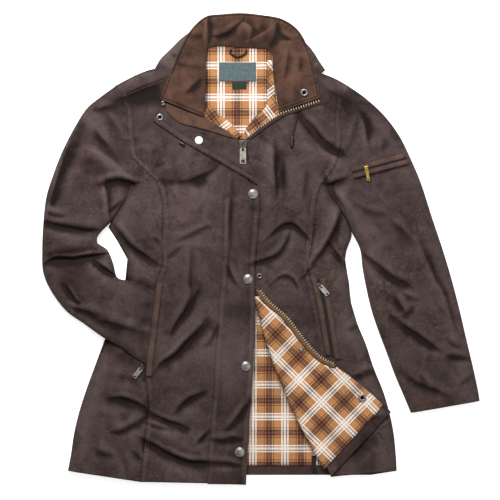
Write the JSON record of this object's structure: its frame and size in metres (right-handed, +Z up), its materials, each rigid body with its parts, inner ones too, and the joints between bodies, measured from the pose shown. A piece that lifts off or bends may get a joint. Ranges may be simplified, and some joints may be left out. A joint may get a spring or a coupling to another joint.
{
  "type": "waxed cotton jacket",
  "caption": "Hip-length waxed cotton jacket laid on its back, front corner turned open, one cuff tucked in a pocket, with brushed collar, check lining, storm placket and zip.",
  "frame": {"origin": "centre of the jacket's outline, on the surface it lies on", "axes": "+X towards the wearer's left sleeve, +Y towards the collar, +Z up out of the jacket's front"},
  "size_m": [0.8761, 0.944, 0.0336],
  "materials": {
    "waxed_cotton": "waxed, creased",
    "waxed_cotton_hood": "waxed, worn",
    "brushed_collar": "brushed nap",
    "corded_welt": "corded",
    "check_lining": "woven check",
    "woven_label": "woven",
    "size_tab": "woven",
    "zip_tape": "woven tape",
    "pewter": "satin",
    "brass": "satin",
    "dark_plastic": "satin",
    "drawcord": "braided"
  },
  "bodies": {
    "jacket": {"back": "waxed_cotton", "back_lining": "check_lining", "hood": "waxed_cotton_hood", "shoulder_right": "waxed_cotton", "shoulder_left": "waxed_cotton", "front_right_centre": "waxed_cotton", "front_right_side": "waxed_cotton", "front_left_centre": "waxed_cotton", "front_left_side": "waxed_cotton", "front_left_turn": "waxed_cotton", "front_left_turn_lining": "check_lining", "front_right_lining": "check_lining", "front_left_lining": "check_lining", "sleeve_right": "waxed_cotton", "sleeve_left": "waxed_cotton", "placket": "waxed_cotton", "placket_turn": "waxed_cotton", "collar": "brushed_collar", "collar_guard": "brushed_collar", "zip_tape_top": "zip_tape", "zip_tape_turn": "zip_tape", "zip_closed": "zip_tape", "vent_zip": "zip_tape", "pocket_right_welt": "corded_welt", "pocket_right_zip": "zip_tape", "pocket_left_welt_front": "corded_welt", "pocket_left_welt_back": "corded_welt", "pocket_left_zip": "zip_tape", "sleeve_pocket_welt_upper": "corded_welt", "sleeve_pocket_welt_lower": "corded_welt", "sleeve_pocket_zip": "zip_tape", "neck_label": "woven_label", "size_tab": "size_tab", "hanger_loop": "dark_plastic", "drawcord": "drawcord", "cord_end_left": "dark_plastic", "cord_end_right": "dark_plastic", "snap_cap_1": "pewter", "snap_cap_2": "pewter", "snap_cap_3": "pewter", "snap_cap_4": "pewter", "snap_socket_flap": "pewter", "snap_back_flap": "pewter", "snap_stud": "pewter", "snap_socket_collar": "pewter", "snap_socket_turn": "pewter", "snap_post_turn": "pewter", "zip_slider": "pewter", "pocket_right_slider": "pewter", "pocket_left_slider": "pewter", "sleeve_pocket_slider": "brass"},
    "front_zip_pull": {"zip_pull": "pewter"},
    "right_pocket_pull": {"pocket_right_pull": "pewter"},
    "left_pocket_pull": {"pocket_left_pull": "pewter"},
    "arm_pocket_pull": {"sleeve_pocket_pull": "brass"}
  },
  "joints": [
    {"name": "front_zip_pull_lift", "type": "hinge", "parent": "jacket", "child": "front_zip_pull", "pos_m": [-0.036, 0.2015, 0.02161], "axis": [-1, 0, 0], "range_deg": [0, 150]},
    {"name": "right_pocket_pull_lift", "type": "hinge", "parent": "jacket", "child": "right_pocket_pull", "pos_m": [-0.2395, -0.2385, 0.01904], "axis": [-0.7828, 0.6222, 0], "range_deg": [0, 150]},
    {"name": "left_pocket_pull_lift", "type": "hinge", "parent": "jacket", "child": "left_pocket_pull", "pos_m": [0.1185, -0.074, 0.02381], "axis": [-0.76, -0.65, 0], "range_deg": [0, 150]},
    {"name": "arm_pocket_pull_lift", "type": "hinge", "parent": "jacket", "child": "arm_pocket_pull", "pos_m": [0.21, 0.159, 0.0317], "axis": [-0.9854, -0.1701, 0], "range_deg": [0, 150]}
  ]
}
